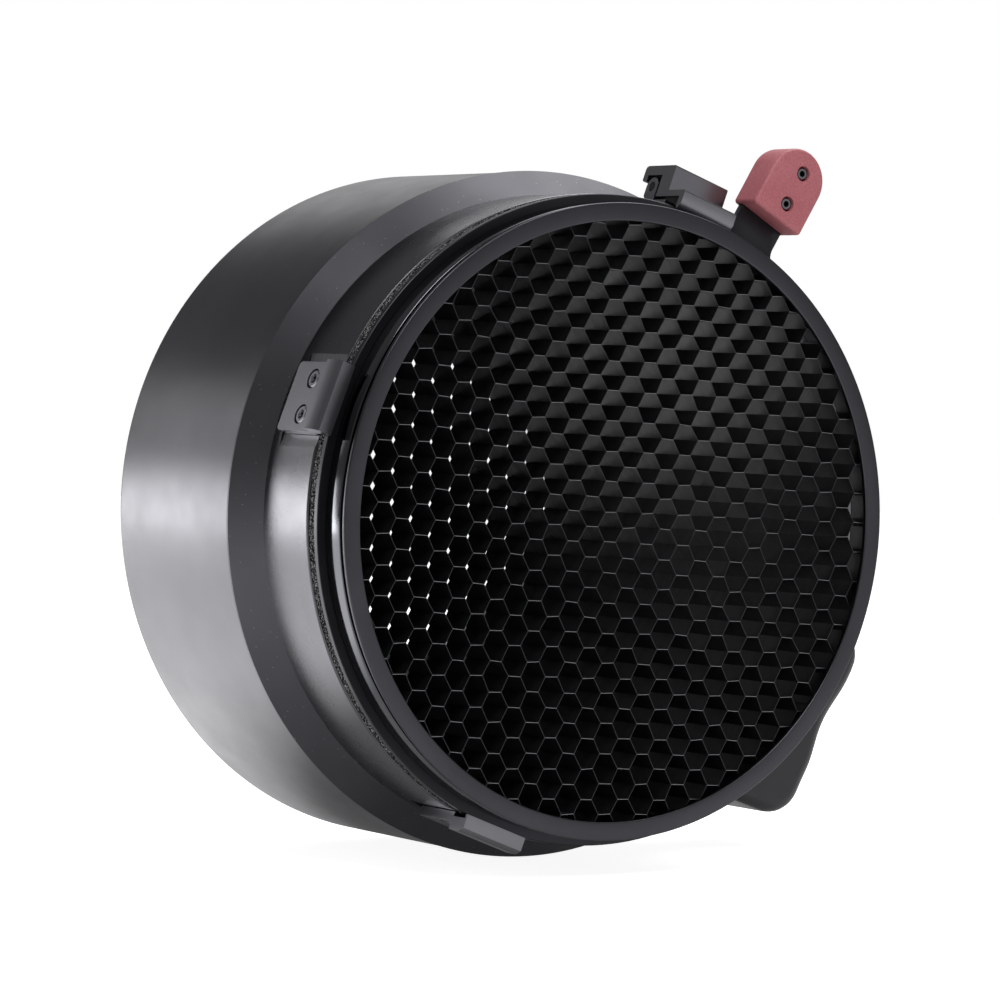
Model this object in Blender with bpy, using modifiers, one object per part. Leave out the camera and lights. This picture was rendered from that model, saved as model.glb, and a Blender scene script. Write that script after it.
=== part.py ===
"""Snoot with a turning honeycomb grid, for a studio light.

World frame: metres, +Z up, optical axis along Y, front (grid) towards -Y. The origin is the centre of
the rear mount face. The top latch stands at +Z and the two fixed ears at -X and -Z.
Pieces held by the collar are modelled at the top, with X tangential and Z radial, then turned about Y.
"""

import math

import bmesh
import bpy
from mathutils import Matrix, Vector

# General
SEGMENTS = 48            # facets round a large turned piece; a multiple of 4 keeps points on the axes
SMALL_SEGMENTS = 12
GAP = 0.0003             # between pieces that touch
TURN_GAP = 0.0007        # between the grid frame's rim and what it turns in
OVERLAP = 0.0010         # how far pieces of one solid run into each other before they are joined
BEYOND = 0.0020          # how far a cutter reaches past the face it cuts
ALMOST = 0.98            # share of a full round end that an arc takes

# Drum: a spun aluminium cup, open at the front
DRUM_RADIUS = 0.1056
DRUM_LENGTH = 0.0720
DRUM_WALL = 0.0020
DRUM_EDGE = 0.0025       # rear corner radius
DRUM_LIP = 0.0004        # front corner radius

# Collar casting: a cone up to the drum and a straight collar in front of it
SHOULDER_LENGTH = 0.0089
SHOULDER_STEP = 0.0003   # the cone's large end stands this far proud of the drum
SHOULDER_LAND = 0.0006   # straight edge at the cone's large end
COLLAR_DROP = 0.0072     # the collar's radius is this much less than the drum's
COLLAR_LENGTH = 0.0269
COLLAR_WALL = 0.0034
COLLAR_EDGE = 0.0005
SPIGOT_LENGTH = 0.0100   # part of the collar that fits inside the drum
SPIGOT_WALL = 0.0030
FLAT_DEPTH = 0.0011      # milled flats under the ears and the latch
FLAT_MARGIN = 0.0045     # beside an ear; the round collar ends the flat before this
FLAT_BEHIND = 0.0006     # behind an ear

# Grid frame: turns in the ears
FELT_SPACE = 0.0035
FELT_WIDTH = 0.0036
FELT_INSET = 0.0004
PLATE_INSET = 0.0002     # the plate's rim is this far below the collar
PLATE_THICKNESS = 0.0020
RING_INSET = 0.0030
RING_WALL = 0.0031
RING_LENGTH = 0.0078
GROOVE_WIDTH = 0.0017
GROOVE_DEPTH = 0.0011
BEZEL_PROUD = 0.0001     # the bezel's rim is this far above the ring
BEZEL_FACE = 0.0014      # thickness of the bezel's front flange
BEZEL_WIDTH = 0.0055
RIM_CHAMFER = 0.0003

# Honeycomb core. The cells here are drawn larger than the real ones, to keep the solid light.
CELL_HEIGHT = 0.00885    # between the double walls of one cell
CELL_FLAT = 0.00405      # length of a double wall
CELL_RUN = 0.00247       # how far a slanting wall runs sideways
CELL_SCALE = 2.5
CORE_WALL = 0.0008
CORE_TURN = math.radians(20.0)
CORE_RIM = 0.0020

# Ears: fixed clips that hold the rim of the carrier plate
EAR_ANGLES = {"ear_left": 179.0, "ear_bottom": 268.6}
EAR_LENGTH = 0.0217
EAR_BASE = 0.0029
EAR_REACH = 0.0213       # base plate, rearwards from the collar's front edge
EAR_BLOCK_REACH = 0.0010
EAR_BLOCK = 0.0054       # height of the raised block above the flat
EAR_LIP = 0.0010
EAR_CATCH = 0.0006       # overlap of the lip on the plate's rim
EAR_CHAMFER = 0.0020     # along Y
EAR_CHAMFER_DROP = 0.0012
EAR_EDGE = 0.0003
EAR_CORNER = 0.0020
EAR_SCREW_INSET = 0.00525  # from the ear's ends
EAR_SCREW_REACH = 0.0099
CHANNEL_END = 0.0006     # the hook's channel ends this far behind the collar's front edge

# M3 low-head socket screws
SCREW_RADIUS = 0.0015
SCREW_HEAD_RADIUS = 0.00275
SCREW_HEAD = 0.0015
SCREW_SOCKET = 0.0013
SCREW_SOCKET_DEPTH = 0.0009
SCREW_FLUSH = 0.0001     # head below the face round it
SCREW_EDGE = 0.0002
HEAD_ROOM = 0.0004       # between a head and its counterbore

# Latch at the top
LATCH_LENGTH = 0.0203
LATCH_BASE = 0.0025
LATCH_BASE_START = 0.0011
LATCH_BASE_REACH = 0.0134
LATCH_SCREW_INSET = 0.00365  # from the latch's ends
LATCH_SCREW_REACH = 0.0042
PIVOT_REACH = 0.0111     # rearwards from the collar's front edge
PIVOT_RISE = 0.0061      # above the collar
CHEEK_RADIUS = 0.0030
CHEEK_WIDTH = 0.0040
CHEEK_STEP = 0.0007      # the cheek's foot is this much narrower than its head
PIN_RADIUS = 0.00125
LATCH_LIP = 0.0023
LATCH_CATCH = 0.0009     # overlap of the lip on the plate's rim
LATCH_LIP_CHAMFER = 0.0013
LATCH_LIP_CUT = 0.0019   # height of that chamfer
LATCH_WEB = 0.0020
LATCH_WEB_RISE = 0.0028  # above the collar
LATCH_BLOCK_FRONT = 0.0010
LATCH_BLOCK_REAR = 0.0072
LATCH_RISE = 0.0130      # above the collar
LATCH_CAP = 0.0031
LATCH_TAIL = 0.0024
LATCH_TAIL_DROP = 0.0020
LATCH_EDGE = 0.0006
TONGUE_ROOM = 0.00055    # between the tongue and a cheek
SPRING_ROOM = 0.00495    # between the tongue and the other cheek
SPRING_WIRE = 0.0004
SPRING_RADIUS = 0.0021
SPRING_TURNS = 3.5
SPRING_POINTS = 9        # in each turn

# Handle on the carrier plate
ARM_WIDTH = 0.0170
ARM_ROOM = 0.00106       # round the rim, between the arm and the latch
ARM_FILLET = 0.0050
ARM_CORNER = 0.0040
GRIP_GAP = 0.0098        # between the plate's rim and the grip
GRIP_LENGTH = 0.0238
GRIP_SIDE = 0.0014       # beside the arm
GRIP_END = 0.0048        # beyond the arm
GRIP_FRONT = 0.0083      # in front of the arm
GRIP_REAR = 0.0016       # behind the arm
GRIP_EDGE = 0.0010
GRIP_SCREWS = (0.0059, 0.0169)   # beyond the grip's inner end
GRIP_SCREW_RADIUS = 0.00125
GRIP_SCREW_HEAD_RADIUS = 0.0018
GRIP_SCREW_HEAD = 0.0017
GRIP_SCREW_SINK = 0.0006
GRIP_SCREW_SOCKET = 0.00085
GRIP_SOCKET_DEPTH = 0.0010

# Moulded side grip on the drum
SIDE_GRIP_START = 0.0020  # behind the drum's front edge
SIDE_GRIP_DEPTH = 0.0340
SIDE_GRIP_EDGE = 0.0030
SIDE_GRIP_TOP = 0.0080
SIDE_GRIP_BOTTOM = -0.0580
SIDE_GRIP_PROUD = 0.0336  # at the top of its outer side
SIDE_GRIP_WAIST = 0.0020  # depth of the hollow between the swells
SIDE_GRIP_LEAN = 0.0096   # how much lower the bottom swell is
SIDE_GRIP_HOLLOW = (0.23, 0.50)   # where the hollow starts and how long it is, as shares of the height
SIDE_GRIP_ENDS = 0.0110   # radius of the ends
SIDE_GRIP_SCREWS = (-0.0100, -0.0400)
SIDE_GRIP_THREAD = 0.0090

# Rear bayonet
MOUNT_SLEEVE = 0.0515
SLEEVE_WALL = 0.0035
SLEEVE_FRONT = 0.0075
SLEEVE_REAR = 0.0085
FLANGE_WIDTH = 0.0195
FLANGE_THICKNESS = 0.0022
LUG_WIDTH = 0.0080
LUG_THICKNESS = 0.0030
LUG_INSET = 0.0005       # in front of the sleeve's rear edge
LUG_COUNT = 3
LUG_SPAN = math.radians(40.0)
DRUM_BORE_ROOM = 0.0005  # between the sleeve and the drum's rear wall
MOUNT_SCREW_OUT = 0.0137  # from the sleeve's outside
MOUNT_SCREW_COUNT = 4
BACKING_WIDTH = 0.0110
BACKING_THICKNESS = 0.0020

# Stations along Y, from the mount face at 0 towards the front
DRUM_REAR_Y = -(FLANGE_THICKNESS + GAP)
DRUM_FRONT_Y = DRUM_REAR_Y - DRUM_LENGTH
SHOULDER_FRONT_Y = DRUM_FRONT_Y - SHOULDER_LENGTH
COLLAR_FRONT_Y = SHOULDER_FRONT_Y - COLLAR_LENGTH
PLATE_REAR_Y = COLLAR_FRONT_Y - FELT_SPACE
PLATE_FRONT_Y = PLATE_REAR_Y - PLATE_THICKNESS
RING_REAR_Y = PLATE_FRONT_Y - GAP
RING_FRONT_Y = RING_REAR_Y - RING_LENGTH
BEZEL_REAR_Y = RING_FRONT_Y - GROOVE_WIDTH
FRONT_Y = BEZEL_REAR_Y - BEZEL_FACE

# Radii and heights from the optical axis
DRUM_INNER = DRUM_RADIUS - DRUM_WALL
COLLAR_RADIUS = DRUM_RADIUS - COLLAR_DROP
COLLAR_BORE = COLLAR_RADIUS - COLLAR_WALL
FLAT_HEIGHT = COLLAR_RADIUS - FLAT_DEPTH
SEAT = FLAT_HEIGHT + GAP
PLATE_RADIUS = COLLAR_RADIUS - PLATE_INSET
RING_RADIUS = COLLAR_RADIUS - RING_INSET
RING_BORE = RING_RADIUS - RING_WALL
BEZEL_RADIUS = RING_RADIUS + BEZEL_PROUD
BEZEL_BORE = BEZEL_RADIUS - BEZEL_WIDTH
WEB_INNER = PLATE_RADIUS + TURN_GAP
EAR_TOP = SEAT + EAR_BLOCK
EAR_BASE_TOP = SEAT + EAR_BASE
LATCH_BASE_TOP = SEAT + LATCH_BASE
LATCH_WEB_HEIGHT = COLLAR_RADIUS + LATCH_WEB_RISE
LATCH_TOP = COLLAR_RADIUS + LATCH_RISE
PIVOT_HEIGHT = COLLAR_RADIUS + PIVOT_RISE
GRIP_INNER = PLATE_RADIUS + GRIP_GAP
GRIP_OUTER = GRIP_INNER + GRIP_LENGTH
ARM_END = GRIP_OUTER - GRIP_END
MOUNT_BORE = MOUNT_SLEEVE - SLEEVE_WALL
FLANGE_RADIUS = MOUNT_SLEEVE + FLANGE_WIDTH
LUG_RADIUS = MOUNT_SLEEVE + LUG_WIDTH
MOUNT_SCREW_CIRCLE = MOUNT_SLEEVE + MOUNT_SCREW_OUT
DRUM_BORE = MOUNT_SLEEVE + DRUM_BORE_ROOM

# Widths and places along the ears, the latch and the grip
EAR_SCREW_SPACING = EAR_LENGTH - 2 * EAR_SCREW_INSET
LATCH_SCREW_SPACING = LATCH_LENGTH - 2 * LATCH_SCREW_INSET
TONGUE_START = -(LATCH_LENGTH / 2 - CHEEK_WIDTH - TONGUE_ROOM)
TONGUE_END = LATCH_LENGTH / 2 - CHEEK_WIDTH - SPRING_ROOM
GRIP_WIDTH = ARM_WIDTH + 2 * GRIP_SIDE
ARM_ANGLE = 90.0 - math.degrees((LATCH_LENGTH / 2 + ARM_ROOM + ARM_WIDTH / 2) / PLATE_RADIUS)

# Further stations along Y
PIVOT_Y = COLLAR_FRONT_Y + PIVOT_REACH
REAR_WALL_Y = DRUM_REAR_Y - DRUM_WALL
SIDE_GRIP_Y = DRUM_FRONT_Y + SIDE_GRIP_START + SIDE_GRIP_DEPTH / 2

MATERIALS = {
    "satin_black": ((0.022, 0.022, 0.024, 1), 0.42, 0.7),
    "gloss_black": ((0.020, 0.020, 0.022, 1), 0.25, 0.6),
    "felt": ((0.010, 0.010, 0.010, 1), 0.95, 0.0),
    "foil_black": ((0.010, 0.010, 0.011, 1), 0.35, 0.5),
    "screw_steel": ((0.10, 0.10, 0.105, 1), 0.30, 1.0),
    "red_plastic": ((0.52, 0.13, 0.14, 1), 0.55, 0.0),
    "black_plastic": ((0.030, 0.030, 0.032, 1), 0.40, 0.0),
    "bare_aluminium": ((0.55, 0.55, 0.56, 1), 0.35, 1.0),
    "spring_steel": ((0.45, 0.45, 0.46, 1), 0.30, 1.0),
}

parts = bpy.data.collections.new("snoot")
cutters = bpy.data.collections.new("cutters")


def clear_scene():
    for obj in list(bpy.data.objects):
        bpy.data.objects.remove(obj, do_unlink=True)
    bpy.context.scene.collection.children.link(parts)
    bpy.context.scene.collection.children.link(cutters)


def material(name):
    found = bpy.data.materials.get(name)
    if found:
        return found
    colour, roughness, metallic = MATERIALS[name]
    made = bpy.data.materials.new(name)
    made.use_nodes = True
    shader = made.node_tree.nodes["Principled BSDF"]
    shader.inputs["Base Color"].default_value = colour
    shader.inputs["Roughness"].default_value = roughness
    shader.inputs["Metallic"].default_value = metallic
    made.diffuse_color = colour
    return made


def add_part(name, mesh, finish, matrix=None):
    """A named part from a mesh, in the object's collection."""
    obj = bpy.data.objects.new(name, mesh)
    parts.objects.link(obj)
    if not mesh.materials:
        mesh.materials.append(material(finish))
    if matrix is not None:
        obj.matrix_world = matrix
    return obj


def add_cutter(name, mesh, matrix=None):
    obj = bpy.data.objects.new(name, mesh)
    cutters.objects.link(obj)
    obj.hide_render = True
    obj.display_type = "WIRE"
    if matrix is not None:
        obj.matrix_world = matrix
    return obj


def shade(mesh):
    mesh.shade_smooth()
    mesh.set_sharp_from_angle(angle=math.radians(30.0))


def about_axis(degrees):
    """Turns a piece modelled at the top to the place at this angle, counted from +X towards +Z."""
    return Matrix.Rotation(math.radians(90.0 - degrees), 4, "Y")


# Shapes

def signed_area(points):
    total = 0.0
    for (x1, y1), (x2, y2) in zip(points, points[1:] + points[:1]):
        total += x1 * y2 - x2 * y1
    return total / 2


def turned(name, profile, finish, segments=SEGMENTS):
    """A ring or disc turned about Y from a closed profile of (radius, y) points."""
    points = list(profile)
    if signed_area(points) > 0:
        points.reverse()
    mesh = bpy.data.meshes.new(name)
    edges = [(i, (i + 1) % len(points)) for i in range(len(points))]
    if points[0][0] == 0 and points[-1][0] == 0:
        edges.pop()
    mesh.from_pydata([(r, y, 0.0) for r, y in points], edges, [])
    obj = add_part(name, mesh, finish)
    screw = obj.modifiers.new("Screw", "SCREW")
    screw.axis = "Y"
    screw.steps = segments
    screw.render_steps = segments
    screw.use_merge_vertices = True
    screw.merge_threshold = 0.00001
    screw.use_smooth_shade = True
    return obj


def baked(obj):
    """The object's evaluated mesh, in place of the object and its modifiers."""
    graph = bpy.context.evaluated_depsgraph_get()
    mesh = bpy.data.meshes.new_from_object(obj.evaluated_get(graph), depsgraph=graph)
    mesh.transform(obj.matrix_world)
    bpy.data.objects.remove(obj, do_unlink=True)
    return mesh


def corner(before, at, after, radius, steps):
    """Points of an arc of this radius that replaces the corner at `at`."""
    one = (Vector(before) - Vector(at)).normalized()
    two = (Vector(after) - Vector(at)).normalized()
    half = one.angle(two) / 2
    reach = radius / math.tan(half)
    centre = Vector(at) + (one + two).normalized() * radius / math.sin(half)
    start = Vector(at) + one * reach - centre
    sweep = start.angle_signed(Vector(at) + two * reach - centre)
    found = []
    for i in range(steps + 1):
        turn = Matrix.Rotation(-sweep * i / steps, 2)
        found.append(tuple(centre + turn @ start))
    return found


def rounded(points, steps=4):
    """An outline from (x, y) points and (x, y, radius) points, whose corners become arcs."""
    outline = []
    for i, point in enumerate(points):
        if len(point) == 2:
            outline.append(point)
            continue
        before = points[i - 1][:2]
        after = points[(i + 1) % len(points)][:2]
        outline += corner(before, point[:2], after, point[2], steps)
    return outline


def plate(outline, low, high):
    """A mesh with this flat outline in X and Y, from z = low to z = high."""
    curve = bpy.data.curves.new("outline", "CURVE")
    curve.dimensions = "2D"
    curve.fill_mode = "BOTH"
    curve.extrude = (high - low) / 2
    spline = curve.splines.new("POLY")
    spline.points.add(len(outline) - 1)
    for point, (x, y) in zip(spline.points, outline):
        point.co = (x, y, 0.0, 1.0)
    spline.use_cyclic_u = True
    obj = bpy.data.objects.new("outline", curve)
    cutters.objects.link(obj)
    obj.location.z = (low + high) / 2
    bpy.context.view_layer.update()
    mesh = baked(obj)
    bpy.data.curves.remove(curve)
    work = bmesh.new()
    work.from_mesh(mesh)
    bmesh.ops.remove_doubles(work, verts=work.verts, dist=0.000001)
    bmesh.ops.recalc_face_normals(work, faces=work.faces)
    work.to_mesh(mesh)
    work.free()
    return mesh


# The two ways a flat outline is set up: its X and Y become these world directions
PROFILE = Matrix(((0, 0, 1, 0), (1, 0, 0, 0), (0, 1, 0, 0), (0, 0, 0, 1)))   # Y, Z; thickness along X
FRONTAL = Matrix(((1, 0, 0, 0), (0, 0, -1, 0), (0, 1, 0, 0), (0, 0, 0, 1)))  # X, Z; thickness along -Y


def set_up(mesh, frame):
    mesh.transform(frame)
    return mesh


def cylinder(radius, start, end, segments=SMALL_SEGMENTS):
    """A cylinder mesh between two points."""
    axis = Vector(end) - Vector(start)
    work = bmesh.new()
    place = Matrix.Translation((Vector(start) + Vector(end)) / 2)
    turn = axis.to_track_quat("Z", "Y").to_matrix().to_4x4()
    bmesh.ops.create_cone(
        work, cap_ends=True, segments=segments, radius1=radius, radius2=radius,
        depth=axis.length, matrix=place @ turn,
    )
    mesh = bpy.data.meshes.new("cylinder")
    work.to_mesh(mesh)
    work.free()
    return mesh


def boolean(obj, mesh, operation="DIFFERENCE", matrix=None):
    cutter = add_cutter(f"{obj.name}_cut_{len(obj.modifiers)}", mesh, matrix)
    made = obj.modifiers.new(cutter.name, "BOOLEAN")
    made.operation = operation
    made.object = cutter
    return cutter


def joined(meshes):
    """Several meshes as one, for a cutter with many tools."""
    work = bmesh.new()
    for mesh in meshes:
        work.from_mesh(mesh)
    whole = bpy.data.meshes.new("tools")
    work.to_mesh(whole)
    work.free()
    return whole


def moved(mesh, matrix):
    mesh.transform(matrix)
    return mesh


def bevelled(obj, width, segments=2, angle=30.0):
    bevel = obj.modifiers.new("Bevel", "BEVEL")
    bevel.width = width
    bevel.segments = segments
    bevel.limit_method = "ANGLE"
    bevel.angle_limit = math.radians(angle)


# Fasteners

def screw_mesh(name, radius, length, head_radius, head, socket, socket_depth):
    """A socket screw along Z: the top of its head at 0, its shank downwards."""
    profile = [
        (0.0, 0.0), (head_radius - SCREW_EDGE, 0.0), (head_radius, -SCREW_EDGE), (head_radius, -head),
        (radius, -head), (radius, -head - length), (0.0, -head - length),
    ]
    obj = turned(name, profile, "screw_steel", SMALL_SEGMENTS)
    obj.rotation_euler.x = math.radians(90.0)
    hexagon = cylinder(socket, (0, 0, -socket_depth), (0, 0, socket_depth), 6)
    cutter = boolean(obj, hexagon)
    bpy.context.view_layer.update()
    mesh = baked(obj)
    bpy.data.objects.remove(cutter, do_unlink=True)
    mesh.name = name
    shade(mesh)
    return mesh


def m3_mesh(name, grip):
    """An M3 screw whose shank is as long as what it holds."""
    return screw_mesh(
        name, SCREW_RADIUS, grip, SCREW_HEAD_RADIUS, SCREW_HEAD, SCREW_SOCKET, SCREW_SOCKET_DEPTH
    )


def sink_screws(obj, frames, top, bottom, matrix=None):
    """Cuts a counterbore from the face at z = top, and a hole through to z = bottom, at each frame."""
    floor = top - SCREW_FLUSH - SCREW_HEAD - GAP
    above = (0, 0, top + BEYOND)
    for radius, end in ((SCREW_HEAD_RADIUS + HEAD_ROOM, floor), (SCREW_RADIUS + GAP, bottom - BEYOND)):
        tools = [moved(cylinder(radius, (0, 0, end), above, 2 * SMALL_SEGMENTS), frame) for frame in frames]
        boolean(obj, joined(tools), matrix=matrix)


def pair(spacing, y):
    """Frames of two screws side by side on a piece at the top."""
    return [Matrix.Translation((x, y, 0)) for x in (-spacing / 2, spacing / 2)]


# Drum and rear mount

def mount_screw_angles():
    return [360.0 * (i + 0.5) / MOUNT_SCREW_COUNT for i in range(MOUNT_SCREW_COUNT)]


def mount_holes(radius):
    """Through holes for the mount screws, in every plate of the rear stack."""
    tools = []
    deep = REAR_WALL_Y - 2 * GAP - BACKING_THICKNESS - BEYOND
    for angle in mount_screw_angles():
        tool = cylinder(radius, (0, deep, MOUNT_SCREW_CIRCLE), (0, BEYOND, MOUNT_SCREW_CIRCLE))
        tools.append(moved(tool, about_axis(angle)))
    return joined(tools)


def drum_shell():
    edge = rounded([(DRUM_INNER, DRUM_FRONT_Y), (DRUM_RADIUS, DRUM_FRONT_Y, DRUM_LIP),
                    (DRUM_RADIUS, DRUM_REAR_Y, DRUM_EDGE), (DRUM_BORE, DRUM_REAR_Y)], 3)
    profile = edge + [(DRUM_BORE, REAR_WALL_Y), (DRUM_INNER, REAR_WALL_Y)]
    drum = turned("drum_shell", profile, "satin_black")
    boolean(drum, mount_holes(SCREW_RADIUS + GAP))
    boolean(drum, joined(side_grip_holes()))


def bayonet_ring():
    profile = [
        (MOUNT_BORE, -SLEEVE_FRONT), (MOUNT_SLEEVE, -SLEEVE_FRONT), (MOUNT_SLEEVE, -FLANGE_THICKNESS),
        (FLANGE_RADIUS, -FLANGE_THICKNESS), (FLANGE_RADIUS, 0.0), (MOUNT_SLEEVE, 0.0),
        (MOUNT_SLEEVE, SLEEVE_REAR), (MOUNT_BORE, SLEEVE_REAR),
    ]
    ring = turned("bayonet_ring", profile, "bare_aluminium")
    inner = MOUNT_SLEEVE - OVERLAP
    front = SLEEVE_REAR - LUG_INSET - LUG_THICKNESS
    steps = 8
    for lug in range(LUG_COUNT):
        middle = math.radians(90.0) + 2 * math.pi * lug / LUG_COUNT
        angles = [middle + LUG_SPAN * (i / steps - 0.5) for i in range(steps + 1)]
        outline = [(LUG_RADIUS * math.cos(a), LUG_RADIUS * math.sin(a)) for a in angles]
        outline += [(inner * math.cos(a), inner * math.sin(a)) for a in reversed(angles)]
        mesh = set_up(plate(outline, -front - LUG_THICKNESS, -front), FRONTAL)
        boolean(ring, mesh, "UNION")
    sink_screws(ring, mount_screw_frames(), 0.0, -FLANGE_THICKNESS)


def mount_screw_frames():
    """Take a screw that stands on Z at the origin to the rear face, pointing forwards."""
    forwards = Matrix.Translation((0, 0, MOUNT_SCREW_CIRCLE)) @ Matrix.Rotation(math.radians(-90.0), 4, "X")
    return [Matrix.Rotation(math.radians(angle), 4, "Y") @ forwards for angle in mount_screw_angles()]


def mount_screws():
    length = FLANGE_THICKNESS - SCREW_FLUSH - SCREW_HEAD + DRUM_WALL + BACKING_THICKNESS + 3 * GAP
    mesh = m3_mesh("mount_screw", length)
    mesh.transform(Matrix.Translation((0, 0, -SCREW_FLUSH)))
    for number, frame in enumerate(mount_screw_frames(), 1):
        add_part(f"mount_screw_{number}", mesh, "screw_steel", frame)


def backing_ring():
    """The threaded ring inside the drum that the mount screws pull against."""
    inner = MOUNT_SCREW_CIRCLE - BACKING_WIDTH / 2
    rear = REAR_WALL_Y - GAP
    profile = [(inner, rear), (inner, rear - BACKING_THICKNESS),
               (inner + BACKING_WIDTH, rear - BACKING_THICKNESS), (inner + BACKING_WIDTH, rear)]
    ring = turned("backing_ring", profile, "bare_aluminium")
    boolean(ring, mount_holes(SCREW_RADIUS + GAP))


# Collar

def flats():
    """Cutters for the milled flats, one under each ear and one under the latch."""
    tools = []
    half = EAR_LENGTH / 2 + FLAT_MARGIN
    front = COLLAR_FRONT_Y - BEYOND
    rear = COLLAR_FRONT_Y + EAR_REACH + FLAT_BEHIND
    outline = [(-half, front), (half, front), (half, rear), (-half, rear)]
    for angle in list(EAR_ANGLES.values()) + [90.0]:
        tools.append(moved(plate(outline, FLAT_HEIGHT, COLLAR_RADIUS + BEYOND), about_axis(angle)))
    return joined(tools)


def front_collar():
    foot = DRUM_RADIUS + SHOULDER_STEP
    face = DRUM_FRONT_Y - GAP
    spigot = DRUM_INNER - GAP
    outer = rounded([(COLLAR_BORE, COLLAR_FRONT_Y), (COLLAR_RADIUS, COLLAR_FRONT_Y, COLLAR_EDGE),
                     (COLLAR_RADIUS, SHOULDER_FRONT_Y), (foot, face - SHOULDER_LAND), (foot, face)], 2)
    inner = [
        (spigot, face), (spigot, face + SPIGOT_LENGTH), (spigot - SPIGOT_WALL, face + SPIGOT_LENGTH),
        (spigot - SPIGOT_WALL, face), (COLLAR_BORE, SHOULDER_FRONT_Y),
    ]
    collar = turned("front_collar", outer + inner, "gloss_black")
    boolean(collar, flats())
    tools = holes_in_flat(LATCH_SCREW_SPACING, LATCH_SCREW_REACH)
    for angle in EAR_ANGLES.values():
        for tool in holes_in_flat(EAR_SCREW_SPACING, EAR_SCREW_REACH):
            tools.append(moved(tool, about_axis(angle)))
    boolean(collar, joined(tools))


def holes_in_flat(spacing, reach):
    y = COLLAR_FRONT_Y + reach
    low, high = COLLAR_BORE - BEYOND, COLLAR_RADIUS + BEYOND
    return [cylinder(SCREW_RADIUS + GAP, (x, y, low), (x, y, high)) for x in (-spacing / 2, spacing / 2)]


def felt_seal():
    outer = COLLAR_RADIUS - FELT_INSET
    profile = [(outer - FELT_WIDTH, PLATE_REAR_Y + GAP), (outer, PLATE_REAR_Y + GAP),
               (outer, COLLAR_FRONT_Y - GAP), (outer - FELT_WIDTH, COLLAR_FRONT_Y - GAP)]
    turned("felt_seal", profile, "felt")


# Grid frame

def arm_outline():
    """The handle's arm at the top, with fillets that run into the plate's rim."""
    half = ARM_WIDTH / 2
    centre = half + ARM_FILLET
    foot = math.sqrt((PLATE_RADIUS + ARM_FILLET) ** 2 - centre ** 2)
    lean = math.atan2(centre, foot)
    right = []
    steps = 5
    for i in range(steps + 1):
        turn = math.pi + (math.pi / 2 - lean) * i / steps
        right.append((centre + ARM_FILLET * math.cos(turn), foot + ARM_FILLET * math.sin(turn)))
    right.append((right[-1][0] - OVERLAP / 2, PLATE_RADIUS - 3 * OVERLAP))
    left = [(-x, z) for x, z in right]
    return rounded(right[::-1] + [(half, ARM_END, ARM_CORNER), (-half, ARM_END, ARM_CORNER)] + left)


def grid_carrier():
    profile = [(RING_BORE, PLATE_FRONT_Y), (PLATE_RADIUS, PLATE_FRONT_Y),
               (PLATE_RADIUS, PLATE_REAR_Y), (RING_BORE, PLATE_REAR_Y)]
    carrier = turned("grid_carrier", profile, "satin_black")
    arm = set_up(plate(arm_outline(), -PLATE_REAR_Y, -PLATE_FRONT_Y), FRONTAL)
    boolean(carrier, arm, "UNION", about_axis(ARM_ANGLE))
    tools = grip_cutters(GRIP_SCREW_RADIUS + GAP, PLATE_FRONT_Y - BEYOND, PLATE_REAR_Y + BEYOND)
    boolean(carrier, joined(tools), matrix=about_axis(ARM_ANGLE))


def grid_ring():
    outer = rounded([(RING_BORE, RING_FRONT_Y), (RING_RADIUS, RING_FRONT_Y, RIM_CHAMFER),
                     (RING_RADIUS, RING_REAR_Y), (RING_BORE, RING_REAR_Y)], 1)
    turned("grid_ring", outer, "gloss_black")


def front_bezel():
    spigot = RING_RADIUS - GROOVE_DEPTH
    inner = RING_BORE + GAP
    profile = rounded([
        (BEZEL_BORE, FRONT_Y), (BEZEL_RADIUS, FRONT_Y, RIM_CHAMFER), (BEZEL_RADIUS, BEZEL_REAR_Y),
        (spigot, BEZEL_REAR_Y), (spigot, RING_FRONT_Y - GAP), (inner, RING_FRONT_Y - GAP),
        (inner, BEZEL_REAR_Y), (BEZEL_BORE, BEZEL_REAR_Y),
    ], 1)
    turned("front_bezel", profile, "satin_black")


def cell_outline(scale, wall):
    """One cell's hole: the walls' faces, half a wall in from the cell's own lines."""
    half_height = (CELL_HEIGHT * scale - wall) / 2
    flat = CELL_FLAT * scale / 2
    run = CELL_RUN * scale * half_height / (CELL_HEIGHT * scale / 2)
    flat -= wall / 4
    return [(flat, half_height), (flat + run, 0.0), (flat, -half_height),
            (-flat, -half_height), (-flat - run, 0.0), (-flat, half_height)]


def honeycomb_core():
    outer = RING_BORE - GAP
    front = BEZEL_REAR_Y + GAP
    rear = PLATE_REAR_Y - GAP
    profile = [(0.0, front), (outer, front), (outer, rear), (0.0, rear)]
    core = turned("honeycomb_core", profile, "foil_black")
    outline = cell_outline(CELL_SCALE, CORE_WALL)
    column = (CELL_FLAT + CELL_RUN) * CELL_SCALE
    row = CELL_HEIGHT * CELL_SCALE
    reach = int(outer / min(column, row)) + 2
    tools = []
    for i in range(-reach, reach + 1):
        for j in range(-reach, reach + 1):
            x, z = i * column, (j + 0.5 * (i % 2)) * row
            if max(math.hypot(x + px, z + pz) for px, pz in outline) > outer - CORE_RIM:
                continue
            hole = [(x + px, z + pz) for px, pz in outline]
            tools.append(set_up(plate(hole, -rear - BEYOND, -front + BEYOND), FRONTAL))
    boolean(core, joined(tools), matrix=Matrix.Rotation(-CORE_TURN, 4, "Y"))


def grip_cutters(radius, start, end):
    """Cylinders along Y for the two grip screws, on an arm at the top."""
    heights = [GRIP_INNER + z for z in GRIP_SCREWS]
    return [cylinder(radius, (0, start, z), (0, end, z), 2 * SMALL_SEGMENTS) for z in heights]


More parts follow.
